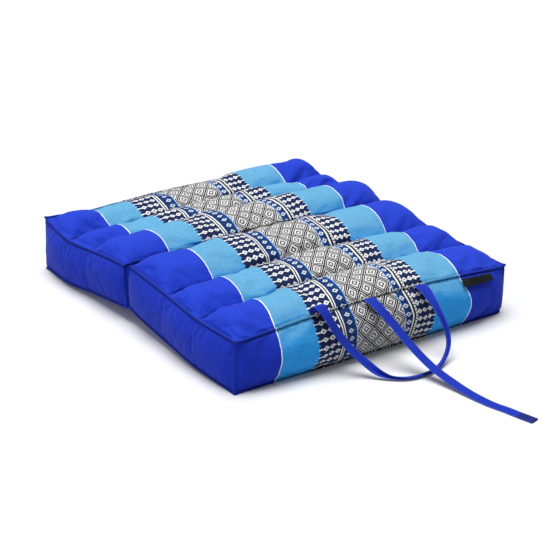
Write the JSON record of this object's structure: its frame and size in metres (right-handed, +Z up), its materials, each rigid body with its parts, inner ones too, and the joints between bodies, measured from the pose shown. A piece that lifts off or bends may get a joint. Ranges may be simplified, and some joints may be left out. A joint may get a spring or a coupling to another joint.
{
  "type": "folding meditation cushion",
  "caption": "Square floor cushion that folds across its middle, with stuffed channels, a carrying handle, a tie and a side label.",
  "frame": {"origin": "on the floor, under the middle of the two halves", "axes": "+Z up, +Y from the edge with the handle to the back, the fold and the channels run along X"},
  "size_m": [0.5276, 0.8256, 0.1144],
  "materials": {
    "cover": "plain woven cotton, royal blue with a sky blue and patterned band",
    "strap": "folded and stitched royal blue cotton strap",
    "strap_end": "navy cotton, turned over and stitched",
    "ribbon": "black woven ribbon, bare"
  },
  "bodies": {
    "root": {"half_front": "cover", "half_back": "cover", "handle": "strap", "tie": "strap", "tie_end": "strap_end", "label": "ribbon"}
  },
  "joints": []
}
